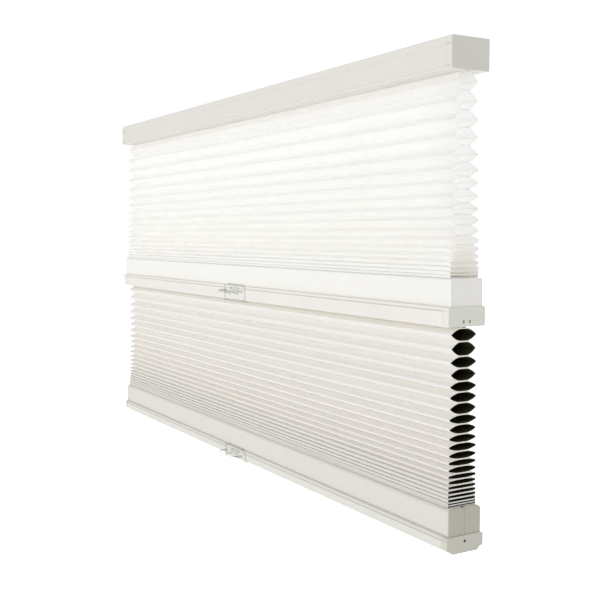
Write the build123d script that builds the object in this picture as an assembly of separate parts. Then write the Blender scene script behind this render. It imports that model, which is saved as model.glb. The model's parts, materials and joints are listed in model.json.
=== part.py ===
from build123d import *
import os
from math import asin, cos, sin

# Cordless day-and-night honeycomb blind. X runs along the rails, the front faces -Y, and the
# origin is the middle of the head rail's top face. Lengths are in millimetres.

# Rail lengths over their end caps, and the rail sections
head_length = 970.0
mid_end_margin = 1.0
head_depth = 50.0
head_height = 33.6
moving_depth = 49.5
mid_height = 21.0
bottom_height = 18.7
rail_wall = 1.4
rail_corner = 1.2
bottom_corner = 2.2
groove_height = 1.1
groove_depth = 0.8
head_groove_drop = 8.0
head_lip_height = 2.4
bead_height = 3.4
bottom_land_depth = 34.0
bottom_land_height = 4.2
bottom_land_slope = 4.0
bottom_land_corner = 1.5

# Fabric cells
upper_drop = 215.0
lower_drop = 193.0
upper_mean_pitch = 12.0
lower_mean_pitch = 8.8
upper_spread_share = 0.75
lower_spread_share = 0.70
cell_flat_depth = 40.0
glue_width_share = 0.2
opening_loss_share = 0.9
fabric_thickness = 0.45
fold_height = 1.7
fold_limit_share = 0.6
upper_wall_bow = 1.4
lower_wall_bow = 1.8
wall_spans = 3
lower_neck = 1.8
fabric_end_inset = 5.0

# Slots and strips that hold the fabric
slot_width = 6.0
strip_width = 14.0
strip_thickness = 1.2
strip_clearance = 0.3
hem_clearance = 0.3
seat_clearance = 0.1
body_clearance = 0.3

# Box covers that stand on the two moving rails
cover_ledge = 3.2
cover_height = 30.0
cover_wall = 1.4
mid_cover_corner = 2.0
bottom_cover_corner = 4.0
channel_corner_share = 0.6
cover_end_inset = 1.0
rib_width = 1.2
rib_height = 2.0
rib_clearance = 0.1

# End caps and side plates
cap_band = 9.0
cap_plate = 2.5
cap_joint = 0.3
plug_reach = 10.0
plug_wall = 1.6
plug_clearance = 0.1
cap_hole_radius = 1.8
mid_hole_spacing = 8.2
mid_hole_drop = 15.5
bottom_hole_drop = 6.2
side_plate = 1.6
side_plug_reach = 4.0
seam_width = 0.5
seam_depth = 0.4

# Clip-on handles
handle_offset = -10.0
handle_width = 66.0
hook_width = 46.0
handle_wall = 2.2
handle_clearance = 0.15
clip_clearance = 0.6
tongue_width = 54.0
tongue_reach = 18.0
tongue_corner = 13.0
tongue_thickness = 2.0
tongue_drop = 9.5
tongue_rim_width = 1.8
tongue_rim_height = 0.9
window_width = 22.0
window_height = 3.2
window_drop = 2.8
gusset_spacing = 26.0
gusset_thickness = 1.6
gusset_reach = 10.0
gusset_height = 3.6

# Lift cords and their anchors
cord_radius = 0.6
cord_hole_radius = 1.6
cord_end_inset = 190.0
knot_radius = 1.5
anchor_radius = 4.5
anchor_height = 4.0
anchor_bore_clearance = 0.15

# Lift shaft, spools and cradles
shaft_radius = 3.0
shaft_flat = 0.8
shaft_overhang = 4.0
running_clearance = 0.06
spool_hub_radius = 6.0
spool_hub_length = 14.0
spool_flange_radius = 8.6
spool_flange = 1.5
end_play = 0.4
cradle_wall = 2.5
cradle_depth = 15.0
cradle_base = 2.0
cradle_top_land = 2.5

# Spring motor
motor_wall = 1.4
motor_side_clearance = 0.4
motor_top_clearance = 0.6
drum_clearance = 0.5
drum_flange = 1.2
spring_width = 10.0
spring_thickness = 0.5
output_hub_radius = 5.0
storage_hub_radius = 3.4
axle_radius = 1.8
roll_rim = 0.6

# How far a bore is cut beyond the face it opens in
overrun = 1.0

# Lengths of the moving rails, and depths that they share
mid_length = head_length - 2 * mid_end_margin
bottom_length = head_length
cover_depth = moving_depth - 2 * cover_ledge
land_top_depth = bottom_land_depth + 2 * bottom_land_slope

# Levels, from the head rail's top down
head_bottom = -head_height
mid_cover_top = head_bottom - upper_drop
mid_top = mid_cover_top - cover_height
mid_bottom = mid_top - mid_height
bottom_cover_top = mid_bottom - lower_drop
bottom_top = bottom_cover_top - cover_height
bottom_low = bottom_top - bottom_height
bottom_edge = bottom_low + bottom_land_height

# Sizes that follow from the ones above
glue_width = glue_width_share * cell_flat_depth
fabric_width = mid_length - 2 * fabric_end_inset
hem_height = strip_thickness + 2 * (strip_clearance + fabric_thickness)
channel_height = hem_height + 2 * hem_clearance
cord_places = (-(mid_length / 2 - cord_end_inset), mid_length / 2 - cord_end_inset)
mechanism_room = cover_height - 2 * cover_wall - channel_height
shaft_rise = mechanism_room / 2
shaft_y = spool_hub_radius + cord_radius + body_clearance
spool_length = spool_hub_length + 2 * spool_flange
motor_half_depth = cover_depth / 2 - cover_wall - rib_clearance - rib_width - motor_side_clearance
motor_height = mechanism_room - motor_top_clearance
motor_half_room = motor_half_depth - motor_wall
drum_height_room = min(shaft_rise, motor_height - shaft_rise) - motor_wall
output_flange_radius = min(drum_height_room, motor_half_room - shaft_y) - drum_clearance
storage_back = shaft_y - output_flange_radius - drum_clearance
storage_front = -motor_half_room + drum_clearance
storage_flange_radius = (storage_back - storage_front) / 2
storage_y = (storage_back + storage_front) / 2
drum_length = spring_width + 2 * (drum_flange + end_play)
motor_length = drum_length + 2 * (end_play + motor_wall)
shaft_half = cord_places[1] + spool_length / 2 + end_play + cradle_wall + shaft_overhang


def rect(width, z_low, z_high, y_mid=0.0):
    """A rectangle of a section, which is drawn with Y across and Z up."""
    return Pos(y_mid, (z_low + z_high) / 2) * Rectangle(width, z_high - z_low)


def disc(radius, z_mid, y_mid=0.0):
    return Pos(y_mid, z_mid) * Circle(radius)


def run(section, x_low, x_high):
    """A section drawn in Y and Z, extruded along X from one place to another."""
    solid = extrude(Plane.YZ * section, amount=x_high - x_low, dir=(1, 0, 0))
    return Pos(x_low, 0, 0) * solid


def upright(radius, x_mid, z_low, z_high):
    """A round bar that stands on the blind's middle plane."""
    return Pos(x_mid, 0, (z_low + z_high) / 2) * Cylinder(radius, z_high - z_low)


def cord_holes(z_low, z_high):
    """The bores that let both lift cords through a wall."""
    return [upright(cord_hole_radius, x, z_low - overrun, z_high + overrun) for x in cord_places]


def save(name, solid):
    export_step(solid, os.path.join("parts", name + ".step"))


# Honeycomb fabric: cells that hang open at the top and lie stacked at the bottom


def cell_pitches(drop, mean_pitch, spread_share):
    count = round(drop / mean_pitch)
    mean = drop / count
    return [mean * (1 + spread_share * (1 - 2 * i / (count - 1))) for i in range(count)]


def cell_side(pitch, z_mid, bow, inset):
    """Points down one side of a cell, from its upper glue line round the fold to the lower one."""
    half_depth = (cell_flat_depth - opening_loss_share * pitch**2 / cell_flat_depth) / 2 - inset
    fold = min(fold_height, fold_limit_share * pitch) / 2 - inset
    rise = pitch / 2 - inset
    glue = glue_width / 2
    steps = [k / wall_spans for k in range(wall_spans + 1)]
    upper = [(glue + t * (half_depth - glue), rise + (fold - rise) * t**bow) for t in steps]
    lower = [(y, -z) for y, z in reversed(upper)]
    return [(y, z_mid + z) for y, z in upper + lower]


def hem_side(z_edge, z_face, way, wall):
    """Points of the hem that goes through a slot, from its far end back to the cells."""
    shoulder = z_face + way * (wall + hem_clearance)
    neck = slot_width / 2 - body_clearance
    hem = strip_width / 2 + strip_clearance + fabric_thickness
    return [(hem, shoulder + way * hem_height), (hem, shoulder), (neck, shoulder), (neck, z_edge)]


def strip_level(z_face, way, wall):
    """The height of the middle of a strip in the hem beyond a slotted wall."""
    return z_face + way * (wall + hem_clearance + hem_height / 2)


def mirrored(side):
    return side + [(-y, z) for y, z in reversed(side)]


def fabric(z_high_face, z_low_face, neck, mean_pitch, spread_share, bow):
    z_high = z_high_face - neck
    z_low = z_low_face + body_clearance
    side = hem_side(z_high, z_high_face, 1, rail_wall)
    openings = []
    z = z_high
    for pitch in cell_pitches(z_high - z_low, mean_pitch, spread_share):
        z_mid = z - pitch / 2
        side += cell_side(pitch, z_mid, bow, 0)[:-1]
        openings.append(Polygon(*mirrored(cell_side(pitch, z_mid, bow, fabric_thickness)), align=None))
        z -= pitch
    side.append((glue_width / 2, z_low))
    side += list(reversed(hem_side(z_low, z_low_face, -1, cover_wall)))
    for face, way, wall in ((z_high_face, 1, rail_wall), (z_low_face, -1, cover_wall)):
        level = strip_level(face, way, wall)
        half = strip_thickness / 2 + strip_clearance
        openings.append(rect(strip_width + 2 * strip_clearance, level - half, level + half))
    section = Polygon(*mirrored(side), align=None) - openings
    solid = run(section, -fabric_width / 2, fabric_width / 2)
    z_low_end = z_low_face - cover_wall - channel_height
    z_high_end = z_high_face + rail_wall + channel_height
    return solid - cord_holes(z_low_end, z_high_end)


def fabric_strip(z_face, way, wall):
    """The flat strip that keeps a hem in its slot, bored for the lift cords."""
    level = strip_level(z_face, way, wall)
    half = strip_thickness / 2
    solid = run(rect(strip_width, level - half, level + half), -fabric_width / 2, fabric_width / 2)
    return solid - cord_holes(level - half, level + half)


def lift_cord(x, z_web, z_axis):
    """A cord from its knot on the anchor in the rail above down to the spool below."""
    z_top = z_web + anchor_height + knot_radius
    knot = Pos(x, 0, z_top) * Sphere(knot_radius)
    return upright(cord_radius, x, z_axis, z_top) + knot


def cord_anchor(x, z_web):
    z_top = z_web + anchor_height
    bore = upright(cord_radius + anchor_bore_clearance, x, z_web - overrun, z_top + overrun)
    return upright(anchor_radius, x, z_web, z_top) - bore


# Rails: hollow extrusions, with a slot below for the fabric that hangs from them


def side_grooves(depth, z_high):
    """A shallow groove along the front and the back face, whose upper edge is at z_high."""
    places = (-(depth - groove_depth) / 2, (depth - groove_depth) / 2)
    return [rect(groove_depth, z_high - groove_height, z_high, y) for y in places]


def slot_and_channel(z_face, way, inner_depth, wall):
    """The slot through a wall and the channel behind it, where a fabric hem lies."""
    z_in = z_face + way * wall
    z_web = z_in + way * channel_height
    slot = rect(slot_width, min(z_face, z_in), max(z_face, z_in))
    return [slot, rect(inner_depth, min(z_in, z_web), max(z_in, z_web))]


def rounded(sketch, radius):
    return fillet(sketch.vertices(), radius)


def rail_web(z_low):
    """The top of the web over the fabric channel of a rail whose underside is at z_low."""
    return z_low + rail_wall + channel_height + rail_wall


def head_outline():
    return rounded(rect(head_depth, head_bottom, 0), rail_corner)


def head_chamber(clearance):
    return rect(
        head_depth - 2 * (rail_wall + clearance), rail_web(head_bottom) + clearance, -rail_wall - clearance
    )


def head_section():
    inner = head_depth - 2 * rail_wall
    grooves = side_grooves(head_depth, head_bottom + head_lip_height + groove_height)
    grooves += side_grooves(head_depth, -head_groove_drop)
    return head_outline() - grooves - head_chamber(0) - slot_and_channel(head_bottom, 1, inner, rail_wall)


def mid_outline():
    return rounded(rect(moving_depth, mid_bottom, mid_top), rail_corner)


def mid_chamber(clearance):
    return rect(
        moving_depth - 2 * (rail_wall + clearance),
        rail_web(mid_bottom) + clearance,
        mid_top - rail_wall - clearance,
    )


def mid_section():
    inner = moving_depth - 2 * rail_wall
    grooves = side_grooves(moving_depth, mid_top - bead_height)
    return mid_outline() - grooves - mid_chamber(0) - slot_and_channel(mid_bottom, 1, inner, rail_wall)


def bottom_outline():
    """A box with soft corners on a narrower land, whose sides slope in."""
    upper = rounded(rect(moving_depth, bottom_edge, bottom_top), bottom_corner)
    half_low = bottom_land_depth / 2
    half_high = land_top_depth / 2
    side = [(half_low, bottom_low), (half_high, bottom_edge), (half_high, bottom_edge + rail_wall)]
    land = Polygon(*mirrored(side), align=None)
    corners = land.vertices().group_by(Axis.Y)[0]
    return upper + fillet(corners, bottom_land_corner)


def bottom_chamber(clearance):
    z_low = bottom_edge + rail_wall + clearance
    z_high = bottom_top - rail_wall - clearance
    return rect(moving_depth - 2 * (rail_wall + clearance), z_low, z_high)


def bottom_section():
    grooves = side_grooves(moving_depth, bottom_top - bead_height)
    land_room = rect(
        bottom_land_depth - 2 * rail_wall,
        bottom_low + rail_wall,
        bottom_edge + 2 * rail_wall,
    )
    return bottom_outline() - grooves - bottom_chamber(0) - land_room


def extrusion_half(length):
    """Half the length of a rail's extrusion between its end caps."""
    return length / 2 - cap_band - cap_joint


def locating_ribs(length, z_top):
    """Two low ribs on a rail's top that stand just inside the legs of its cover."""
    y_rib = cover_depth / 2 - cover_wall - rib_clearance - rib_width / 2
    ribs = [rect(rib_width, z_top, z_top + rib_height, y) for y in (-y_rib, y_rib)]
    return [run(rib, -extrusion_half(length), extrusion_half(length)) for rib in ribs]


def end_cap(section, outline, chamber, length, side):
    """A cap of the rail's own section with a closed end, and a hollow plug inside the rail."""
    x_end = length / 2
    x_band = x_end - cap_band
    x_plate = x_end - cap_plate
    x_plug = x_band - cap_joint - plug_reach
    cap = run(section, x_band, x_plate) + run(outline, x_plate, x_end)
    plug = chamber(plug_clearance) - chamber(plug_clearance + plug_wall)
    cap += run(plug, x_plug, x_plate)
    if side < 0:
        cap = mirror(cap, about=Plane.YZ)
    return cap


def cap_holes(cap, places, length, side):
    """Small round holes through the closed end of a cap."""
    x_low = length / 2 - cap_plate - overrun
    x_high = length / 2 + overrun
    for y, z in places:
        bore = run(disc(cap_hole_radius, z, y), x_low, x_high)
        cap -= bore if side > 0 else mirror(bore, about=Plane.YZ)
    return cap


# Box covers and their side plates


def cover_outline(z_top, corner):
    box = rect(cover_depth, z_top - cover_height, z_top)
    return fillet(box.vertices().group_by(Axis.Y)[-1], corner)


def cover_room(z_top, clearance):
    z_web = z_top - 2 * cover_wall - channel_height
    return rect(cover_depth - 2 * (cover_wall + clearance), z_top - cover_height, z_web - clearance)


def cover_section(z_top, corner):
    inner = cover_depth - 2 * cover_wall
    slot, channel = slot_and_channel(z_top, -1, inner, cover_wall)
    channel = fillet(channel.vertices().group_by(Axis.Y)[-1], channel_corner_share * corner)
    reveals = side_grooves(cover_depth, z_top - cover_height + groove_height)
    return cover_outline(z_top, corner) - cover_room(z_top, 0) - slot - channel - reveals


def cover_end(length):
    return length / 2 - cover_end_inset - side_plate


def box_cover(length, z_top, corner):
    solid = run(cover_section(z_top, corner), -cover_end(length), cover_end(length))
    return solid - cord_holes(z_top - 2 * cover_wall - channel_height, z_top)


def side_plate_solid(length, z_top, corner, side, seamed):
    x_in = cover_end(length)
    x_face = x_in + side_plate
    plate = run(cover_outline(z_top, corner), x_in, x_face)
    ring = cover_room(z_top, plug_clearance + rib_clearance + rib_width)
    hollow = cover_room(z_top, plug_clearance + rib_clearance + rib_width + plug_wall)
    plate += run(ring - hollow, x_in - side_plug_reach, x_in)
    if seamed:
        plate -= run(rect(seam_width, z_top - cover_height, z_top), x_face - seam_depth, x_face + overrun)
    if side < 0:
        plate = mirror(plate, about=Plane.YZ)
    return plate


# Clear handles: a clip over the rail's bead and under its edge, with a rounded finger tongue


def finger_tongue(y_root, z_low):
    """A flat tongue with round corners and a raised rim to grip."""
    length = tongue_reach + handle_wall
    plan = Pos(0, y_root - length / 2) * Rectangle(tongue_width, length)
    plan = fillet(plan.vertices().group_by(Axis.Y)[0], tongue_corner)
    rim = plan - offset(plan, amount=-tongue_rim_width)
    solid = extrude(plan, amount=tongue_thickness)
    solid += extrude(rim, amount=tongue_thickness + tongue_rim_height)
    return Pos(0, 0, z_low) * solid


def gusset(x, y_plate, z_high):
    """A small triangular rib between the plate and the underside of the tongue."""
    corners = [(y_plate, z_high - gusset_height), (y_plate, z_high), (y_plate - gusset_reach, z_high)]
    return run(Polygon(*corners, align=None), x - gusset_thickness / 2, x + gusset_thickness / 2)


def handle(z_top, z_under):
    y_face = -moving_depth / 2
    y_in = y_face - handle_clearance
    y_out = y_in - handle_wall
    z_high = z_top + handle_clearance
    z_low = z_under - handle_clearance
    y_hook = y_face + cover_ledge - clip_clearance
    y_lip = -land_top_depth / 2 - clip_clearance
    plate = rect(handle_wall, z_low - handle_wall, z_high, (y_in + y_out) / 2)
    plate += rect(y_lip - y_out, z_low - handle_wall, z_low, (y_out + y_lip) / 2)
    solid = run(plate, -handle_width / 2, handle_width / 2)
    hook = rect(handle_wall, z_low, z_high + handle_wall, (y_in + y_out) / 2)
    hook += rect(y_hook - y_out, z_high, z_high + handle_wall, (y_out + y_hook) / 2)
    solid += run(hook, -hook_width / 2, hook_width / 2)
    z_window = z_top - window_drop
    window = rect(handle_wall + 2 * overrun, z_window - window_height, z_window, (y_in + y_out) / 2)
    solid -= run(window, -window_width / 2, window_width / 2)
    z_tongue = z_top - tongue_drop
    solid += finger_tongue(y_in, z_tongue)
    for x in (-gusset_spacing / 2, gusset_spacing / 2):
        solid += gusset(x, y_out, z_tongue)
    return Pos(handle_offset, 0, 0) * solid


# Lift shaft with its spools, cradles and spring motor


def shaft_outline(z_axis, clearance):
    """A round bar with one flat on top."""
    radius = shaft_radius + clearance
    flat = rect(2 * radius, z_axis + radius - shaft_flat, z_axis + radius, shaft_y)
    return disc(radius, z_axis, shaft_y) - flat


def lift_shaft(z_axis):
    return run(shaft_outline(z_axis, 0), -shaft_half, shaft_half)


def spool(x, z_axis):
    half = spool_hub_length / 2
    bore = shaft_outline(z_axis, running_clearance)
    flange = disc(spool_flange_radius, z_axis, shaft_y)
    solid = run(disc(spool_hub_radius, z_axis, shaft_y) - bore, x - half, x + half)
    solid += run(flange - bore, x - half - spool_flange, x - half)
    return solid + run(flange - bore, x + half, x + half + spool_flange)


def cradle(x, z_floor, z_axis):
    """A U-shaped seat on the rail, whose two cheeks carry the shaft beside a spool."""
    inner = spool_length / 2 + end_play
    outer = inner + cradle_wall
    z_crown = z_axis + shaft_radius + cradle_top_land
    journal = disc(shaft_radius + running_clearance, z_axis, shaft_y)
    cheek = rect(cradle_depth, z_floor, z_crown, shaft_y) - journal
    base = rect(cradle_depth, z_floor, z_floor + cradle_base, shaft_y)
    solid = run(base, x - outer, x + outer)
    return solid + run(cheek, x - outer, x - inner) + run(cheek, x + inner, x + outer)


def motor_case(z_floor, z_axis):
    half = motor_length / 2
    z_lid = z_floor + motor_height - motor_wall
    wall = rect(2 * motor_half_depth, z_floor, z_lid)
    ring = wall - rect(2 * motor_half_room, z_floor + motor_wall, z_lid)
    bores = disc(shaft_radius + running_clearance, z_axis, shaft_y) + disc(axle_radius, z_axis, storage_y)
    end = wall - bores
    solid = run(ring, -half, half)
    return solid + run(end, -half, motor_wall - half) + run(end, half - motor_wall, half)


def motor_lid(z_floor):
    z_top = z_floor + motor_height
    half = motor_length / 2
    return run(rect(2 * motor_half_depth, z_top - motor_wall, z_top), -half, half)


def drum(y, hub_radius, flange_radius, bore, z_axis):
    """A drum for the spring strip, between two flanges."""
    half = drum_length / 2
    hub = disc(hub_radius, z_axis, y) - bore
    flange = disc(flange_radius, z_axis, y) - bore
    solid = run(hub, -half, half)
    return solid + run(flange, -half, drum_flange - half) + run(flange, half - drum_flange, half)


def drive_spring(z_axis):
    """The steel strip: a roll round the storage drum, a flat run, and a first turn on the output drum."""
    roll = storage_flange_radius - roll_rim
    turn = output_hub_radius + body_clearance + spring_thickness
    span = shaft_y - storage_y
    lean = asin((roll - turn) / span)
    outer = [
        (storage_y + roll * sin(lean), z_axis + roll * cos(lean)),
        (shaft_y + turn * sin(lean), z_axis + turn * cos(lean)),
    ]
    y_in = spring_thickness * sin(lean)
    z_in = spring_thickness * cos(lean)
    inner = [(y - y_in, z - z_in) for y, z in reversed(outer)]
    section = disc(roll, z_axis, storage_y) + disc(turn, z_axis, shaft_y)
    section += Polygon(*reversed(outer + inner), align=None)
    section -= disc(storage_hub_radius + body_clearance, z_axis, storage_y)
    section -= disc(turn - spring_thickness, z_axis, shaft_y)
    return run(section, -spring_width / 2, spring_width / 2)


def lift_unit(name, z_floor):
    """Everything that a moving rail's cover hides."""
    z_axis = z_floor + shaft_rise
    save(name + "_lift_shaft", lift_shaft(z_axis))
    for x, side in zip(cord_places, ("left", "right")):
        save(name + "_spool_" + side, spool(x, z_axis))
        save(name + "_cradle_" + side, cradle(x, z_floor, z_axis))
    save(name + "_motor_case", motor_case(z_floor, z_axis))
    save(name + "_motor_lid", motor_lid(z_floor))
    bore = shaft_outline(z_axis, running_clearance)
    save(name + "_output_drum", drum(shaft_y, output_hub_radius, output_flange_radius, bore, z_axis))
    bore = disc(axle_radius + running_clearance, z_axis, storage_y)
    save(name + "_storage_drum", drum(storage_y, storage_hub_radius, storage_flange_radius, bore, z_axis))
    axle = run(disc(axle_radius, z_axis, storage_y), -motor_length / 2, motor_length / 2)
    save(name + "_storage_axle", axle)
    save(name + "_drive_spring", drive_spring(z_axis))


os.makedirs("parts", exist_ok=True)
sides = ((-1, "left"), (1, "right"))

# Head rail and what stays with it
head_half = extrusion_half(head_length)
head_extrusion = run(head_section(), -head_half, head_half)
head_web = rail_web(head_bottom)
save("head_rail", head_extrusion - cord_holes(head_bottom, head_web))
for side, side_name in sides:
    cap = end_cap(head_section(), head_outline(), head_chamber, head_length, side)
    save("head_end_cap_" + side_name, cap)
save("head_fabric_strip", fabric_strip(head_bottom, 1, rail_wall))
upper_cells = (upper_mean_pitch, upper_spread_share, upper_wall_bow)
save("upper_fabric", fabric(head_bottom, mid_cover_top, seat_clearance, *upper_cells))
for x, side_name in zip(cord_places, ("left", "right")):
    save("head_cord_anchor_" + side_name, cord_anchor(x, head_web))
    save("upper_lift_cord_" + side_name, lift_cord(x, head_web, mid_top + shaft_rise))

# Middle rail with its box, and the lower fabric that hangs from it
mid_web = rail_web(mid_bottom)
mid_half = extrusion_half(mid_length)
mid_extrusion = run(mid_section(), -mid_half, mid_half) + locating_ribs(mid_length, mid_top)
save("mid_rail", mid_extrusion - cord_holes(mid_bottom, mid_web))
save("mid_cover", box_cover(mid_length, mid_cover_top, mid_cover_corner))
mid_hole_level = mid_top - mid_hole_drop
mid_hole_places = [(y, mid_hole_level) for y in (-mid_hole_spacing / 2, mid_hole_spacing / 2)]
for side, side_name in sides:
    cap = end_cap(mid_section(), mid_outline(), mid_chamber, mid_length, side)
    save("mid_end_cap_" + side_name, cap_holes(cap, mid_hole_places, mid_length, side))
    plate = side_plate_solid(mid_length, mid_cover_top, mid_cover_corner, side, False)
    save("mid_side_plate_" + side_name, plate)
save("mid_handle", handle(mid_top, mid_bottom))
save("mid_upper_strip", fabric_strip(mid_cover_top, -1, cover_wall))
save("mid_lower_strip", fabric_strip(mid_bottom, 1, rail_wall))
lift_unit("mid", mid_top)
lower_cells = (lower_mean_pitch, lower_spread_share, lower_wall_bow)
save("lower_fabric", fabric(mid_bottom, bottom_cover_top, lower_neck, *lower_cells))
for x, side_name in zip(cord_places, ("left", "right")):
    save("mid_cord_anchor_" + side_name, cord_anchor(x, mid_web))
    save("lower_lift_cord_" + side_name, lift_cord(x, mid_web, bottom_top + shaft_rise))

# Bottom rail with its box
bottom_half = extrusion_half(bottom_length)
bottom_extrusion = run(bottom_section(), -bottom_half, bottom_half)
save("bottom_rail", bottom_extrusion + locating_ribs(bottom_length, bottom_top))
save("bottom_cover", box_cover(bottom_length, bottom_cover_top, bottom_cover_corner))
bottom_hole_places = [(0, bottom_top - bottom_hole_drop)]
for side, side_name in sides:
    cap = end_cap(bottom_section(), bottom_outline(), bottom_chamber, bottom_length, side)
    save("bottom_end_cap_" + side_name, cap_holes(cap, bottom_hole_places, bottom_length, side))
    plate = side_plate_solid(bottom_length, bottom_cover_top, bottom_cover_corner, side, True)
    save("bottom_side_plate_" + side_name, plate)
save("bottom_handle", handle(bottom_top, bottom_edge))
save("bottom_upper_strip", fabric_strip(bottom_cover_top, -1, cover_wall))
lift_unit("bottom", bottom_top)
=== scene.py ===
import json
import math
import random

import bpy
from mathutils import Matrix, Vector


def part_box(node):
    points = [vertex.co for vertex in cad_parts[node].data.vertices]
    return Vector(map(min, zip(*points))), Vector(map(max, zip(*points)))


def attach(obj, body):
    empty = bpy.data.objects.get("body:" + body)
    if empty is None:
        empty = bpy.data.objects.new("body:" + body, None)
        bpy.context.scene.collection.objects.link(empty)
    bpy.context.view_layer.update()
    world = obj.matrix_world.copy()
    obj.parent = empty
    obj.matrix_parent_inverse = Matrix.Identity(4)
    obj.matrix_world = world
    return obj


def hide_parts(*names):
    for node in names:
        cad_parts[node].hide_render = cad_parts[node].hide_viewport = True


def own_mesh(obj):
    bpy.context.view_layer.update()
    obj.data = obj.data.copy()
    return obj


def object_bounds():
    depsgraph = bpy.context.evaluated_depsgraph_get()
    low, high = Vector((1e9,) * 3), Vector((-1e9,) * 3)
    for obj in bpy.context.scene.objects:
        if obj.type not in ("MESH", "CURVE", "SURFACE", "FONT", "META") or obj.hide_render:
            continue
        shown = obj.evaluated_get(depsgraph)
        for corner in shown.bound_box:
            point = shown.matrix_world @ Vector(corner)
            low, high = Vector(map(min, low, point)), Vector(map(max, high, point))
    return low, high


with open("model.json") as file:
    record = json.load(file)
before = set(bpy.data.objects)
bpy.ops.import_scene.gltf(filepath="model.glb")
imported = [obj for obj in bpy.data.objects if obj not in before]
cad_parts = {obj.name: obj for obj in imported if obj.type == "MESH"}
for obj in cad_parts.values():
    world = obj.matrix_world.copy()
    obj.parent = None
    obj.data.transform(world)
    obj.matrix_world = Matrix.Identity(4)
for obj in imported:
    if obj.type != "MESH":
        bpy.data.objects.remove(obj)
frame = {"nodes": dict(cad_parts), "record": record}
cad_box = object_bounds()

# Head rail. An extruded aluminium box, powder coated off-white, with a shallow groove near its
# top and another above the lip along its lower edges. It carries everything else.


def linear(red, green, blue):
    """A colour given as screen values up to 255, in the light values that a shader takes."""
    full = 255.0
    toe, toe_slope, lift, gamma = 0.04045, 12.92, 0.055, 2.4
    shares = [value / full for value in (red, green, blue)]
    light = [s / toe_slope if s <= toe else ((s + lift) / (1 + lift)) ** gamma for s in shares]
    return (*light, 1.0)


def blank_material(name):
    """A new material, with its node tree and its shader."""
    material = bpy.data.materials.new(name)
    material.use_nodes = True
    return material, material.node_tree, material.node_tree.nodes["Principled BSDF"]


def add_node(tree, kind, settings):
    """A shader node with the given values at its inputs."""
    node = tree.nodes.new(kind)
    for name, value in settings.items():
        node.inputs[name].default_value = value
    return node


def piece_place(tree):
    """The place on the piece, which a texture follows."""
    return tree.nodes.new("ShaderNodeTexCoord").outputs["Object"]


def mix_colours(tree, share, first, second, blend="MIX"):
    """A mix of two colours, each of them fixed or the output of another node."""
    first_socket, second_socket, result_socket = 6, 7, 2
    mix = tree.nodes.new("ShaderNodeMix")
    mix.data_type = "RGBA"
    mix.blend_type = blend
    tree.links.new(share, mix.inputs["Factor"])
    for socket, colour in ((first_socket, first), (second_socket, second)):
        if isinstance(colour, tuple):
            mix.inputs[socket].default_value = colour
        else:
            tree.links.new(colour, mix.inputs[socket])
    return mix.outputs[result_socket]


def mottled_colour(tree, place, light_colour, dark_colour, scale):
    """Two close colours that drift into each other over the surface."""
    drift = add_node(tree, "ShaderNodeTexNoise", {"Scale": scale, "Detail": 3.0})
    tree.links.new(place, drift.inputs["Vector"])
    return mix_colours(tree, drift.outputs["Fac"], light_colour, dark_colour)


def grain_bump(tree, place, shader, scale, detail, strength, depth):
    """Fine unevenness of the surface."""
    grain = add_node(tree, "ShaderNodeTexNoise", {"Scale": scale, "Detail": detail})
    bump = add_node(tree, "ShaderNodeBump", {"Strength": strength, "Distance": depth})
    tree.links.new(place, grain.inputs["Vector"])
    tree.links.new(grain.outputs["Fac"], bump.inputs["Height"])
    tree.links.new(bump.outputs["Normal"], shader.inputs["Normal"])
    return grain.outputs["Fac"]


def paint_groove_shading(tree, colour, painted_groove_tone, reach, open_share):
    """Paints a tone into a finish's grooves, holes and joints by how closed in they are: painted shade where
    the tone is darker than the finish, painted light where it is lighter.
    """
    closed_share = 0.12
    # Ambient occlusion is the mask of the painted shading.
    openness = add_node(tree, "ShaderNodeAmbientOcclusion", {"Distance": reach})
    openness.only_local = True
    spread = add_node(tree, "ShaderNodeMapRange", {"From Min": closed_share, "From Max": open_share})
    tree.links.new(openness.outputs["AO"], spread.inputs["Value"])
    return mix_colours(tree, spread.outputs["Result"], painted_groove_tone, colour)


def powder_coat(name, light_colour, dark_colour, painted_groove_tone):
    """Satin powder coat with a faint orange peel, and painted shading in its grooves."""
    smoothest, roughest = 0.42, 0.56
    material, tree, shader = blank_material(name)
    place = piece_place(tree)
    coat = mottled_colour(tree, place, light_colour, dark_colour, scale=24.0)
    colour = paint_groove_shading(tree, coat, painted_groove_tone, reach=0.002, open_share=0.75)
    tree.links.new(colour, shader.inputs["Base Color"])
    peel = grain_bump(tree, place, shader, scale=1100.0, detail=2.0, strength=0.12, depth=0.0001)
    gloss = add_node(tree, "ShaderNodeMapRange", {"To Min": smoothest, "To Max": roughest})
    tree.links.new(peel, gloss.inputs["Value"])
    tree.links.new(gloss.outputs["Result"], shader.inputs["Roughness"])
    shader.inputs["Specular IOR Level"].default_value = 0.35
    return material


def dress(node_name, material, edge=0.0):
    """Gives a solid its finish, and breaks its sharp edges by a small round."""
    weld_reach = 0.00002
    round_steps = 2
    sharp_from = math.radians(40)
    piece = frame["nodes"][node_name]
    piece.data.materials.clear()
    piece.data.materials.append(material)
    if edge:
        weld = piece.modifiers.new("joined_corners", "WELD")
        weld.merge_threshold = weld_reach
        bevel = piece.modifiers.new("broken_edges", "BEVEL")
        bevel.width = edge
        bevel.segments = round_steps
        bevel.limit_method = "ANGLE"
        bevel.angle_limit = sharp_from
        bevel.harden_normals = True
    return piece


rail_edge = 0.00025
head_light = linear(232, 229, 223)
head_dark = linear(228, 226, 219)
# Lighter tone painted into the head rail's grooves: painted light that offsets their shade.
head_groove_painted_light = linear(250, 248, 244)
head_coat = powder_coat("head_rail_coat", head_light, head_dark, head_groove_painted_light)
dress("head_rail", head_coat, rail_edge)

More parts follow.
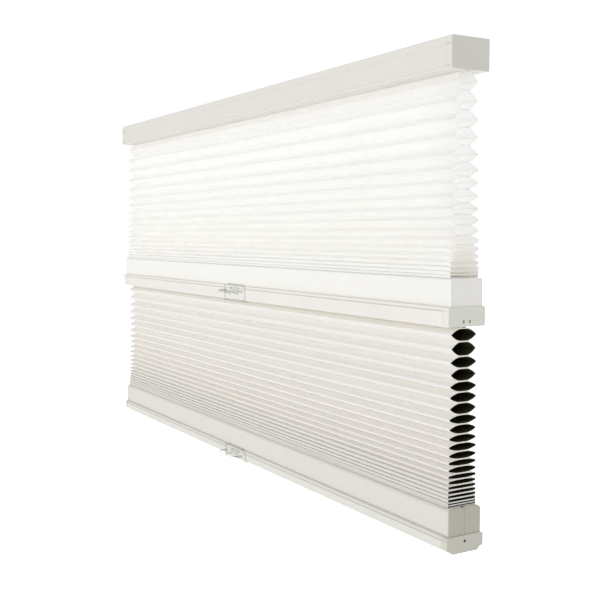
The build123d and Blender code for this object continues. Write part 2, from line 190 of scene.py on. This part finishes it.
# Head rail end caps. Moulded plastic in the off-white of the coat, with the rail's own outline.
# Each has a plug that is pushed into the open end of the extrusion.
sides = ("left", "right")
# Dark tone painted into the holes and seams of the moulded plastics: painted shade.
hole_painted_shade = linear(80, 79, 72)


def moulded_plastic(name, light_colour, dark_colour, roughness, painted_groove_tone=hole_painted_shade):
    """Finely grained plastic, with painted shading in its holes and seams: painted shade with the default
    dark tone, painted light with a lighter one.
    """
    material, tree, shader = blank_material(name)
    place = piece_place(tree)
    plain = mottled_colour(tree, place, light_colour, dark_colour, scale=60.0)
    colour = paint_groove_shading(tree, plain, painted_groove_tone, reach=0.003, open_share=0.38)
    tree.links.new(colour, shader.inputs["Base Color"])
    grain_bump(tree, place, shader, scale=2600.0, detail=3.0, strength=0.10, depth=0.00008)
    shader.inputs["Roughness"].default_value = roughness
    shader.inputs["Specular IOR Level"].default_value = 0.4
    return material


cap_roughness = 0.5
cap_light = linear(232, 231, 223)
cap_dark = linear(227, 226, 217)
cap_plastic = moulded_plastic("cap_plastic", cap_light, cap_dark, cap_roughness)
for side in sides:
    dress("head_end_cap_" + side, cap_plastic, rail_edge)

# Upper fabric. A sheer white honeycomb of thin non-woven polyester, folded and glued into one
# column of cells. The upper cells hang open and the lower ones lie stacked on the box below.

# The cloth, and how much of its flat depth a cell loses as it opens
cell_flat_depth = 0.040
opening_loss_share = 0.9
crease_margin = 0.0006
cloth_thickness = 0.00045
fabric_stations = 33

# Glue lines between the cells
glue_half = 0.0038
glue_layer = 0.00025
glue_layer_share = 0.08
glue_squeeze = 0.0005
glue_squeeze_share = 0.1
glue_gap = 0.00003

# Folds along the front and the back, and the same folds on the inside of the cloth
stacked_fold = 0.0017
open_fold = 0.0005
fold_closing = 0.05
fold_limit_share = 0.43
inner_fold_share = 0.7
inner_tip_share = 1.3

# The rounded nose of an open fold, the steps of the wall behind it, and where on the way from glue line to
# crease the wall's colour lies between the painted light and shade of the folds
nose = 0.0006
nose_setback_share = 0.15
nose_rise_share = 0.7
wall_steps = 8
wall_tone = 0.8

# Unevenness of the glued cells
pitch_jitter = 0.10
glue_waver_share = 0.03
crease_waver = 0.0004
waver_waves = 3
waver_rates = (6.0, 22.0)
waver_weights = (0.3, 1.0)
usual_weight_sum = 2.0


def cell_ring(z_high, z_low, half_depth, form, inset):
    """Points round one cell's section, with how near each is to a fold and how stacked it lies."""
    open_bow, stacked_bow, open_pitch = form
    pitch = z_high - z_low
    middle = (z_high + z_low) / 2
    glue = min(glue_layer, glue_layer_share * pitch) if inset else 0.0
    squeeze = 0.0 if inset else min(glue_squeeze, glue_squeeze_share * pitch)
    rise = pitch / 2 - inset - glue
    tip = half_depth - inner_tip_share * inset
    closing_fold = max(open_fold, stacked_fold - fold_closing * pitch)
    fold = min(fold_limit_share * pitch, closing_fold) - inner_fold_share * inset
    openness = min(1.0, pitch / open_pitch)
    bow = open_bow * openness + stacked_bow * (1 - openness)
    round_depth = nose * openness
    side = []
    for k in range(wall_steps + 1):
        t = k / wall_steps
        y = glue_half + t * (tip - round_depth - glue_half)
        drop = (rise - fold) * t**bow
        near = wall_tone * k / (wall_steps - 1) if k < wall_steps else 1.0
        side.append((y, rise - (drop if drop > squeeze else 0.0), near))
    side.append((tip - nose_setback_share * round_depth, nose_rise_share * fold, 1.0))
    lower = [(y, -z, near) for y, z, near in reversed(side)]
    right = side + [(tip, 0.0, 1.0)] + lower
    left = [(-y, z, near) for y, z, near in reversed(right)]
    ring = right + [(0.0, -rise, 0.0)] + left + [(0.0, rise, 0.0)]
    return [(y, middle + z, near, 1 - openness) for y, z, near in ring]


def cell_edges(z_high, z_low, count, spread_share, draw):
    """The heights of the glue lines between cells, from the open ones down to the stacked ones."""
    shares = []
    for i in range(count):
        slope = 1 + spread_share * (1 - 2 * i / (count - 1))
        shares.append(slope * (1 + pitch_jitter * draw.uniform(-1, 1)))
    edges = [z_high]
    for share in shares:
        edges.append(edges[-1] - (z_high - z_low) * share / sum(shares))
    edges[-1] = z_low
    return edges


def slow_waver(draw, reach):
    """A slow waver of a glue line or a crease, as a function of the place along the blind."""
    waves = []
    for _ in range(waver_waves):
        rate = draw.uniform(*waver_rates)
        start = draw.uniform(0, math.tau)
        weight = draw.uniform(*waver_weights)
        waves.append((rate, start, weight))
    return lambda x: reach * sum(w * math.sin(r * x + s) for r, s, w in waves) / usual_weight_sum


def add_ring_shell(points, faces, kinds, outer_rings, inner_rings):
    """A tube along the blind between outer and inner rings, one of each at every station."""
    size = len(outer_rings[0])
    rows = len(outer_rings)
    last = rows - 1
    start = len(points)
    for ring in outer_rings + inner_rings:
        points.extend(ring)

    def at(layer, row, k):
        return start + (layer * rows + row) * size + k % size

    for k in range(size):
        for row in range(last):
            faces.append((at(0, row, k), at(0, row + 1, k), at(0, row + 1, k + 1), at(0, row, k + 1)))
            kinds.append(0)
            faces.append((at(1, row, k), at(1, row, k + 1), at(1, row + 1, k + 1), at(1, row + 1, k)))
            kinds.append(1)
        faces.append((at(0, 0, k), at(0, 0, k + 1), at(1, 0, k + 1), at(1, 0, k)))
        faces.append((at(0, last, k), at(1, last, k), at(1, last, k + 1), at(0, last, k + 1)))
        kinds.extend((0, 0))


def add_to_scene(name, data):
    """An object in the scene, from a mesh, a lamp or a camera."""
    thing = bpy.data.objects.new(name, data)
    bpy.context.scene.collection.objects.link(thing)
    return thing


def cloth_piece(name, points, faces, kinds, materials):
    """A piece of cloth, with a second material on its inside where it is lined."""
    mesh = bpy.data.meshes.new(name)
    mesh.from_pydata(points, [], faces)
    for material in materials:
        mesh.materials.append(material)
    mesh.polygons.foreach_set("material_index", [k if len(materials) > 1 else 0 for k in kinds])
    return add_to_scene(name, mesh)


def honeycomb(name, node_name, z_high, z_low, count, spread_share, form, seed, materials):
    """A column of glued cells, each of them a tube of cloth from end to end of the blind."""
    fold_angle = math.radians(38)
    draw = random.Random(seed)
    x_low, x_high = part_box(node_name)[0].x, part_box(node_name)[1].x
    stations = [x_low + (x_high - x_low) * k / (fabric_stations - 1) for k in range(fabric_stations)]
    edges = cell_edges(z_high, z_low, count, spread_share, draw)
    wavers = [slow_waver(draw, glue_waver_share * (z_high - z_low) / count) for _ in edges]
    wavers[0] = wavers[-1] = lambda x: 0.0
    points, faces, kinds = [], [], []
    for i in range(count):
        crease = slow_waver(draw, crease_waver)
        outer, inner = [], []
        for x in stations:
            high = edges[i] + wavers[i](x) - glue_gap
            low = edges[i + 1] + wavers[i + 1](x) + glue_gap
            depth = cell_flat_depth - opening_loss_share * (high - low) ** 2 / cell_flat_depth
            half = depth / 2 - crease_margin + crease(x)
            outer.append([(x, *p) for p in cell_ring(high, low, half, form, 0.0)])
            inner.append([(x, *p) for p in cell_ring(high, low, half, form, cloth_thickness)])
        add_ring_shell(points, faces, kinds, outer, inner)
    xs, ys, zs, near_fold, stacked = zip(*points)
    piece = cloth_piece(name, list(zip(xs, ys, zs)), faces, kinds, materials)
    for attribute, values in (("near_fold", near_fold), ("stacked", stacked)):
        layer = piece.data.attributes.new(attribute, "FLOAT", "POINT")
        layer.data.foreach_set("value", values)
    piece.data.shade_smooth()
    piece.data.set_sharp_from_angle(angle=fold_angle)
    return piece


def attribute_value(tree, name):
    """A value that the mesh holds for each of its points."""
    node = tree.nodes.new("ShaderNodeAttribute")
    node.attribute_name = name
    return node.outputs["Fac"]


def paint_fold_shading(tree, painted_valley_light, wall_colour, painted_crease_tone, painted_stack_tone):
    """Painted light and shade over the cloth's wall colour: painted light along the glue lines, a painted
    tone at the crease and another on the folds in the stack.
    """
    tones = tree.nodes.new("ShaderNodeValToRGB")
    tones.color_ramp.elements[0].color = painted_valley_light
    tones.color_ramp.elements[1].color = painted_crease_tone
    tones.color_ramp.elements.new(wall_tone).color = wall_colour
    near_fold = attribute_value(tree, "near_fold")
    tree.links.new(near_fold, tones.inputs["Fac"])
    on_fold = add_node(tree, "ShaderNodeMapRange", {"From Min": wall_tone, "From Max": 1.0})
    tree.links.new(near_fold, on_fold.inputs["Value"])
    # Share of the painted stack tone: only on the fold faces of stacked cells.
    stack_shading_share = tree.nodes.new("ShaderNodeMath")
    stack_shading_share.operation = "MULTIPLY"
    tree.links.new(on_fold.outputs["Result"], stack_shading_share.inputs[0])
    tree.links.new(attribute_value(tree, "stacked"), stack_shading_share.inputs[1])
    return mix_colours(tree, stack_shading_share.outputs["Value"], tones.outputs["Color"], painted_stack_tone)


def mix_shaders(tree, share, first, second, output="Material Output"):
    """Ends a material, or the world, in a mix of two shaders."""
    mix = tree.nodes.new("ShaderNodeMixShader")
    tree.links.new(share, mix.inputs["Fac"])
    tree.links.new(first, mix.inputs[1])
    tree.links.new(second, mix.inputs[2])
    tree.links.new(mix.outputs["Shader"], tree.nodes[output].inputs["Surface"])


def fibre_cloth(name, colours, fleck_colour, translucence=0.0):
    """Non-woven cloth of flattened fibres, in one colour, else with painted light and shade along its folds
    and in the stack.
    """
    fibre_scale = (260.0, 1400.0, 1400.0)
    fully_stacked = 0.5
    stack_translucence = 0.2
    material, tree, shader = blank_material(name)
    links = tree.links
    stretch = add_node(tree, "ShaderNodeMapping", {"Scale": fibre_scale})
    links.new(piece_place(tree), stretch.inputs["Vector"])
    fibres = add_node(tree, "ShaderNodeTexNoise", {"Scale": 1.0, "Detail": 4.0, "Roughness": 0.65})
    links.new(stretch.outputs["Vector"], fibres.inputs["Vector"])
    plain = colours[0] if len(colours) == 1 else paint_fold_shading(tree, *colours)
    colour = mix_colours(tree, fibres.outputs["Fac"], plain, fleck_colour, blend="MULTIPLY")
    links.new(colour, shader.inputs["Base Color"])
    bump = add_node(tree, "ShaderNodeBump", {"Strength": 0.12, "Distance": 0.00012})
    links.new(fibres.outputs["Fac"], bump.inputs["Height"])
    links.new(bump.outputs["Normal"], shader.inputs["Normal"])
    shader.inputs["Roughness"].default_value = 0.85
    shader.inputs["Specular IOR Level"].default_value = 0.1
    shader.inputs["Sheen Weight"].default_value = 0.05
    shader.inputs["Sheen Roughness"].default_value = 0.5
    if translucence:
        through = tree.nodes.new("ShaderNodeBsdfTranslucent")
        links.new(colour, through.inputs["Color"])
        links.new(bump.outputs["Normal"], through.inputs["Normal"])
        shares = {"From Max": fully_stacked, "To Min": translucence, "To Max": stack_translucence}
        thinness = add_node(tree, "ShaderNodeMapRange", shares)
        links.new(attribute_value(tree, "stacked"), thinness.inputs["Value"])
        mix_shaders(tree, thinness.outputs["Result"], shader.outputs["BSDF"], through.outputs["BSDF"])
    return material


def hang(piece, body, node_name):
    """Hangs a piece from a body, hides the solid it stands for, and gives it a mesh of its own."""
    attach(piece, body)
    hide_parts(node_name)
    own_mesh(piece)


seat_gap = 0.0001
rest_gap = 0.0003
upper_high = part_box("head_rail")[0].z - seat_gap
upper_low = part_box("mid_cover")[1].z + rest_gap

# How far the open cells outgrow the stacked ones, and a cell's form: how much its walls bow when
# it hangs open and when it lies stacked, and the pitch from which it counts as open
upper_cells = 18
upper_spread = 0.75
upper_form = (1.4, 7.0, 0.013)
upper_seed = 3

# Painted light in the glue-line valleys and on the stacked folds, and painted shade along the open creases,
# over the sheer wall colour.
sheer_valley_painted_light = linear(255, 255, 254.8)
sheer_wall = linear(254.7, 254.5, 254.1)
sheer_crease_painted_shade = linear(252, 251.5, 250)
sheer_stack_painted_light = linear(255, 255, 254.7)
sheer_cloth = fibre_cloth(
    "sheer_cloth",
    (sheer_valley_painted_light, sheer_wall, sheer_crease_painted_shade, sheer_stack_painted_light),
    fleck_colour=linear(254.9, 254.9, 254.8),
    translucence=0.65,
)
upper_cloths = [sheer_cloth]
upper_fabric = honeycomb(
    "upper_honeycomb",
    "upper_fabric",
    upper_high,
    upper_low,
    upper_cells,
    upper_spread,
    upper_form,
    upper_seed,
    upper_cloths,
)
hang(upper_fabric, "head", "upper_fabric")

# Hems of the upper fabric. Each end of the cloth is turned round a flat strip and drawn through
# the slot of the rail or box, so the strip can't come out again.
hem_half_width = 0.00775
hem_height = 0.0027
hem_clearance = 0.0003
slot_wall = 0.0014
neck_half = 0.0027
hem_ring_points = 16
hem_round_share = 0.3


def hem_ring(half_width, z_low, z_high):
    """A rectangle with small round corners, as a ring of points."""
    half_height = (z_high - z_low) / 2
    radius = hem_round_share * min(half_width, half_height)
    ring = []
    for k in range(hem_ring_points):
        turn = math.tau * (k + 0.5) / hem_ring_points
        y_sign, z_sign = math.copysign(1, math.cos(turn)), math.copysign(1, math.sin(turn))
        y = y_sign * (half_width - radius) + radius * math.cos(turn)
        z = z_sign * (half_height - radius) + radius * math.sin(turn)
        ring.append((y, (z_low + z_high) / 2 + z))
    return ring


def hem(name, node_name, z_face, z_cells, body, materials):
    """The turned end of a fabric beyond a slotted wall, and the neck from there to its cells."""
    x_low, x_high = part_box(node_name)[0].x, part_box(node_name)[1].x
    way = math.copysign(1, z_face - z_cells)
    shoulder = z_face + way * (slot_wall + hem_clearance)
    far = shoulder + way * hem_height
    points, faces, kinds = [], [], []
    for half, z_a, z_b in ((hem_half_width, shoulder, far), (neck_half, z_cells, shoulder)):
        low, high = min(z_a, z_b), max(z_a, z_b)
        outer = hem_ring(half, low, high)
        inner = hem_ring(half - cloth_thickness, low + cloth_thickness, high - cloth_thickness)
        outer_rings = [[(x, *p) for p in outer] for x in (x_low, x_high)]
        inner_rings = [[(x, *p) for p in inner] for x in (x_low, x_high)]
        add_ring_shell(points, faces, kinds, outer_rings, inner_rings)
    piece = cloth_piece(name, points, faces, kinds, materials)
    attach(piece, body)
    return piece


head_foot = upper_high + seat_gap
mid_box_top = upper_low - rest_gap
upper_hems = [
    hem("upper_hem_top", "upper_fabric", head_foot, upper_high, "head", upper_cloths),
    hem("upper_hem_low", "upper_fabric", mid_box_top, upper_low, "mid_rail", upper_cloths),
]

# Box on the middle rail. A plastic cover faced with the same white cloth as the fabric above,
# with a plate closing each end. It hides the spring lift.
upper_box_colour = linear(248, 247, 243)
upper_box_fleck = linear(252, 252, 250)
upper_cover_cloth = fibre_cloth("upper_cover_cloth", [upper_box_colour], upper_box_fleck)
plate_roughness = 0.55
plate_light = linear(255, 254, 249)
plate_dark = linear(254, 252, 247)
plate_plastic = moulded_plastic("side_plate_plastic", plate_light, plate_dark, plate_roughness)
dress("mid_cover", upper_cover_cloth, rail_edge)
for side in sides:
    dress("mid_side_plate_" + side, plate_plastic, rail_edge)

# Middle rail with its end caps. An extrusion in a lighter coat than the head rail, with a bead
# along the top of its front and back faces and moulded caps pushed into its ends.
mid_light = linear(242, 240, 234)
mid_dark = linear(237, 234, 228)
# Dark tone painted into the middle rail's grooves and gaps: painted shade.
mid_groove_painted_shade = linear(150, 148, 140)
mid_coat = powder_coat("mid_rail_coat", mid_light, mid_dark, mid_groove_painted_shade)
mid_cap_light = linear(240, 240, 231)
mid_cap_dark = linear(235, 235, 226)
mid_cap_plastic = moulded_plastic("mid_cap_plastic", mid_cap_light, mid_cap_dark, cap_roughness)
dress("mid_rail", mid_coat, rail_edge)
for side in sides:
    dress("mid_end_cap_" + side, mid_cap_plastic, rail_edge)

# Clear handles. Moulded clear plastic clips, hooked over the bead and under the lower edge of
# each moving rail, with a rimmed finger tongue.


def clear_plastic(name):
    """See-through plastic, with painted dark lines along its edges in place of their refraction, and a faint
    painted sheen on its faces.
    """
    edge_radius = 0.0016
    face_turn, edge_turn = 0.98, 0.82
    face_veil, edge_veil = 0.06, 0.85
    painted_face_sheen = linear(240, 242, 239)
    painted_edge_dark = linear(66, 68, 62)
    clear_tint = linear(253, 254, 253)
    material, tree, shader = blank_material(name)
    links = tree.links
    grain_bump(tree, piece_place(tree), shader, scale=260.0, detail=2.0, strength=0.08, depth=0.0002)
    # Edge mask of the painted dark lines, from a rounded normal against the true one.
    rounded = add_node(tree, "ShaderNodeBevel", {"Radius": edge_radius})
    true_face = tree.nodes.new("ShaderNodeNewGeometry")
    turn = tree.nodes.new("ShaderNodeVectorMath")
    turn.operation = "DOT_PRODUCT"
    links.new(rounded.outputs["Normal"], turn.inputs[0])
    links.new(true_face.outputs["Normal"], turn.inputs[1])
    edge = add_node(tree, "ShaderNodeMapRange", {"From Min": face_turn, "From Max": edge_turn})
    links.new(turn.outputs["Value"], edge.inputs["Value"])
    tint = mix_colours(tree, edge.outputs["Result"], painted_face_sheen, painted_edge_dark)
    links.new(tint, shader.inputs["Base Color"])
    shader.inputs["Roughness"].default_value = 0.12
    veil = add_node(tree, "ShaderNodeMapRange", {"To Min": face_veil, "To Max": edge_veil})
    links.new(edge.outputs["Result"], veil.inputs["Value"])
    clear = add_node(tree, "ShaderNodeBsdfTransparent", {"Color": clear_tint})
    mix_shaders(tree, veil.outputs["Result"], clear.outputs["BSDF"], shader.outputs["BSDF"])
    return material


handle_edge = 0.0005
handle_plastic = clear_plastic("clear_handle_plastic")
for rail in ("mid", "bottom"):
    clear_handle = dress(rail + "_handle", handle_plastic, handle_edge)
    clear_handle.visible_shadow = False
    clear_handle.visible_diffuse = False

# Lower fabric. The blackout honeycomb: off-white cloth outside and a black lining inside the
# cells, glued, hemmed and hung like the upper one.


def lining_film(name, light_colour, dark_colour):
    """Dull dark film on the inside of the cells."""
    material, tree, shader = blank_material(name)
    place = piece_place(tree)
    colour = mottled_colour(tree, place, light_colour, dark_colour, scale=80.0)
    tree.links.new(colour, shader.inputs["Base Color"])
    grain_bump(tree, place, shader, scale=900.0, detail=3.0, strength=0.2, depth=0.0001)
    shader.inputs["Roughness"].default_value = 0.6
    shader.inputs["Specular IOR Level"].default_value = 0.25
    return material


lower_neck = 0.0018
rail_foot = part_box("mid_rail")[0].z
bottom_box_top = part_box("bottom_cover")[1].z
lower_high = rail_foot - lower_neck
lower_low = bottom_box_top + rest_gap
lower_cells = 22
lower_spread = 0.70
lower_form = (1.9, 1.9, 0.010)
lower_seed = 8
lining_light = linear(98, 98, 70)
lining_dark = linear(70, 70, 46)
# Painted light in the glue-line valleys, a painted highlight along the creases, and painted shade on the
# folds in the stack, over the blackout wall colour.
blackout_valley_painted_light = linear(253, 252, 250)
blackout_wall = linear(242, 239, 235)
blackout_crease_painted_highlight = linear(245, 243, 240)
blackout_stack_painted_shade = linear(205, 201, 194)
blackout_cloth = fibre_cloth(
    "blackout_cloth",
    (blackout_valley_painted_light, blackout_wall, blackout_crease_painted_highlight, blackout_stack_painted_shade),
    fleck_colour=linear(253, 253, 252),
)
lower_cloths = [blackout_cloth, lining_film("black_lining", lining_light, lining_dark)]
lower_fabric = honeycomb(
    "lower_honeycomb",
    "lower_fabric",
    lower_high,
    lower_low,
    lower_cells,
    lower_spread,
    lower_form,
    lower_seed,
    lower_cloths,
)
hang(lower_fabric, "mid_rail", "lower_fabric")
lower_hems = [
    hem("lower_hem_top", "lower_fabric", rail_foot, lower_high, "mid_rail", lower_cloths),
    hem("lower_hem_low", "lower_fabric", bottom_box_top, lower_low, "bottom_rail", lower_cloths),
]

# Box, rail and caps at the bottom. The same pieces as at the middle, faced with the off-white
# cloth of the lower fabric. The end plates are greyer and have a fine seam.
lower_box_colour = linear(230, 226, 219)
lower_box_fleck = linear(250, 250, 248)
lower_cover_cloth = fibre_cloth("lower_cover_cloth", [lower_box_colour], lower_box_fleck)
bottom_light = linear(229, 228, 221)
bottom_dark = linear(224, 223, 215)
# Dark tone painted into the bottom rail's grooves and gaps: painted shade.
bottom_groove_painted_shade = linear(160, 158, 150)
bottom_coat = powder_coat("bottom_rail_coat", bottom_light, bottom_dark, bottom_groove_painted_shade)
seamed_roughness = 0.6
seamed_light = linear(201, 199, 187)
seamed_dark = linear(195, 193, 180)
# Light tone painted into the end plates' seam: painted light that offsets its shade.
seam_painted_light = linear(250, 248, 240)
bottom_plate_plastic = moulded_plastic(
    "bottom_plate_plastic", seamed_light, seamed_dark, seamed_roughness, seam_painted_light
)
bottom_cap_light = linear(216, 215, 204)
bottom_cap_dark = linear(210, 209, 197)
bottom_cap_plastic = moulded_plastic("bottom_cap_plastic", bottom_cap_light, bottom_cap_dark, cap_roughness)
dress("bottom_cover", lower_cover_cloth, rail_edge)
dress("bottom_rail", bottom_coat, rail_edge)
for side in sides:
    dress("bottom_side_plate_" + side, bottom_plate_plastic, rail_edge)
    dress("bottom_end_cap_" + side, bottom_cap_plastic, rail_edge)

# Lift cords. Braided polyester cords that run from a knot in the rail above, through the cells,
# to a spool in the rail below. They shorten as that rail rises.
cord_radius = 0.0006
knot_radius = 0.0015
cord_sides = 14
cord_rows = 160
braid_share = 0.06
braid_rate = 4200.0


def braided_cord(name, node_name):
    """A cord down the middle of its solid, with a round knot at the top."""
    low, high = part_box(node_name)
    x_mid, z_knot = (low.x + high.x) / 2, high.z - knot_radius
    points, faces = [], []
    for row in range(cord_rows):
        z = high.z - (high.z - low.z) * row / (cord_rows - 1)
        swell = max(0.0, 1 - ((z - z_knot) / knot_radius) ** 2) ** 0.5
        radius = cord_radius + (knot_radius - cord_radius) * swell
        for k in range(cord_sides):
            turn = math.tau * k / cord_sides
            strands = math.sin(2 * turn + braid_rate * z) * math.sin(2 * turn - braid_rate * z)
            reach = radius * min(1 + braid_share * strands, 1.0)
            points.append((x_mid + reach * math.cos(turn), reach * math.sin(turn), z))
    for row in range(cord_rows - 1):
        for k in range(cord_sides):
            a, b = row * cord_sides + k, row * cord_sides + (k + 1) % cord_sides
            faces.append((a, a + cord_sides, b + cord_sides, b))
    faces.append(tuple(range(cord_sides)))
    faces.append(tuple(reversed(range((cord_rows - 1) * cord_sides, cord_rows * cord_sides))))
    mesh = bpy.data.meshes.new(name)
    mesh.from_pydata(points, [], faces)
    mesh.shade_smooth()
    return add_to_scene(name, mesh)


cord_colour = linear(240, 239, 234)
cord_fleck = linear(240, 240, 238)
cord_cloth = fibre_cloth("cord_braid", [cord_colour], cord_fleck)
for body, fabric, joint_name in (("head", "upper", "mid_slide"), ("mid_rail", "lower", "bottom_slide")):
    for side in sides:
        cord_node = f"{fabric}_lift_cord_{side}"
        cord = braided_cord(f"{fabric}_cord_{side}", cord_node)
        cord.data.materials.append(cord_cloth)
        hang(cord, body, cord_node)

# Inside the rails. Flat strips in the hems, cord buttons, and in each moving rail a drawn steel
# shaft with moulded spools and a spring motor. None of it shows while the covers are on.


def drawn_steel(name, light_colour, dark_colour, roughness):
    """Bright steel with fine marks along the way it was drawn."""
    draw_scale = (20.0, 2400.0, 2400.0)
    material, tree, shader = blank_material(name)
    stretch = add_node(tree, "ShaderNodeMapping", {"Scale": draw_scale})
    tree.links.new(piece_place(tree), stretch.inputs["Vector"])
    colour = mottled_colour(tree, stretch.outputs["Vector"], light_colour, dark_colour, scale=1.0)
    tree.links.new(colour, shader.inputs["Base Color"])
    shader.inputs["Metallic"].default_value = 1.0
    shader.inputs["Roughness"].default_value = roughness
    return material


strip_light = linear(238, 238, 234)
strip_dark = linear(232, 232, 227)
acetal_light = linear(230, 230, 225)
acetal_dark = linear(223, 223, 217)
shaft_light = linear(190, 190, 190)
shaft_dark = linear(165, 165, 166)
spring_light = linear(160, 165, 175)
spring_dark = linear(130, 136, 148)
finish_of_slot = {
    "strip_plastic": moulded_plastic("strip_plastic", strip_light, strip_dark, roughness=0.4),
    "mechanism_plastic": moulded_plastic("acetal", acetal_light, acetal_dark, roughness=0.35),
    "shaft_steel": drawn_steel("shaft_steel", shaft_light, shaft_dark, roughness=0.3),
    "spring_steel": drawn_steel("spring_steel", spring_light, spring_dark, roughness=0.25),
}
for part in frame["record"]["subparts"]:
    if part["material_slot"] in finish_of_slot:
        dress(part["node"], finish_of_slot[part["material_slot"]])

# Floor. A wide pale studio floor, well below the hanging blind. It glows a little, so that it
# lights the blind from below, and looks plain white itself.
white = (1.0, 1.0, 1.0, 1.0)
floor_drop = 0.45
floor_half = 14.0
floor_colour = linear(230, 230, 230)
floor_glow_lit, floor_glow_seen = 0.40, 1.0
floor_z = cad_box[0][2] - floor_drop
floor_mesh = bpy.data.meshes.new("floor")
corner_signs = ((-1, -1), (1, -1), (1, 1), (-1, 1))
corners = [(x_sign * floor_half, y_sign * floor_half, floor_z) for x_sign, y_sign in corner_signs]
floor_mesh.from_pydata(corners, [], [(0, 1, 2, 3)])
floor = add_to_scene("floor", floor_mesh)
floor_paint, floor_tree, floor_shader = blank_material("floor_paint")
floor_shader.inputs["Base Color"].default_value = floor_colour
floor_shader.inputs["Roughness"].default_value = 0.9
floor_shader.inputs["Emission Color"].default_value = white
floor_ray = floor_tree.nodes.new("ShaderNodeLightPath")
floor_glow = add_node(floor_tree, "ShaderNodeMapRange", {"To Min": floor_glow_lit, "To Max": floor_glow_seen})
floor_tree.links.new(floor_ray.outputs["Is Camera Ray"], floor_glow.inputs["Value"])
floor_tree.links.new(floor_glow.outputs["Result"], floor_shader.inputs["Emission Strength"])
floor_mesh.materials.append(floor_paint)

# Light. An even white surround that is dimmer towards the blind's ends, and two large soft
# lamps, one on the room side and one on the window side.
room_light, side_light = 0.88, 0.33
backdrop_light = 1.05
world = bpy.data.worlds.new("surround")
world.use_nodes = True
surround = world.node_tree
background = surround.nodes["Background"]
background.inputs["Color"].default_value = white
direction = surround.nodes.new("ShaderNodeTexCoord")
axes = surround.nodes.new("ShaderNodeSeparateXYZ")
sideways = surround.nodes.new("ShaderNodeMath")
sideways.operation = "ABSOLUTE"
fade = add_node(surround, "ShaderNodeMapRange", {"To Min": room_light, "To Max": side_light})
surround.links.new(direction.outputs["Generated"], axes.inputs["Vector"])
surround.links.new(axes.outputs["X"], sideways.inputs["Value"])
surround.links.new(sideways.outputs["Value"], fade.inputs["Value"])
surround.links.new(fade.outputs["Result"], background.inputs["Strength"])
backdrop = add_node(surround, "ShaderNodeBackground", {"Color": white, "Strength": backdrop_light})
seen = surround.nodes.new("ShaderNodeLightPath").outputs["Is Camera Ray"]
mix_shaders(
    surround, seen, background.outputs["Background"], backdrop.outputs["Background"], "World Output"
)
bpy.context.scene.world = world

blind_middle = (0.0, 0.0, -0.27)


def soft_lamp(name, place, size, power):
    """A large square lamp that looks at the middle of the blind."""
    lamp = bpy.data.lights.new(name, "AREA")
    lamp.shape = "SQUARE"
    lamp.size = size
    lamp.energy = power
    stand = add_to_scene(name, lamp)
    stand.location = place
    stand.rotation_euler = (Vector(blind_middle) - Vector(place)).to_track_quat("-Z", "Y").to_euler()


soft_lamp("room_lamp", place=(-0.4, -2.8, 0.1), size=2.6, power=21.3)
soft_lamp("window_lamp", place=(-0.2, 2.4, 0.3), size=2.4, power=16.0)

# Light passes many times between the stacked layers of the sheer cloth
cloth_bounces = 256
clear_layers = 32
bpy.context.scene.cycles.max_bounces = cloth_bounces
bpy.context.scene.cycles.diffuse_bounces = cloth_bounces
bpy.context.scene.cycles.transmission_bounces = cloth_bounces
bpy.context.scene.cycles.transparent_max_bounces = clear_layers

# Camera. It stands in front of the blind and beyond its right end, at the height of the upper
# fabric, and looks along the blind and slightly down.
camera_place = (1.248, -0.652, -0.2026)
camera_tilt = math.radians(86.02)
camera_turn = math.radians(59.58)
camera_data = bpy.data.cameras.new("camera")
camera_data.sensor_width = 36.0
camera_data.lens = 56.75
camera_data.clip_start = 0.01
camera = add_to_scene("camera", camera_data)
camera.location = camera_place
camera.rotation_euler = (camera_tilt, 0.0, camera_turn)
bpy.context.scene.camera = camera
bpy.context.scene.view_settings.view_transform = "Standard"
bpy.context.scene.view_settings.look = "None"
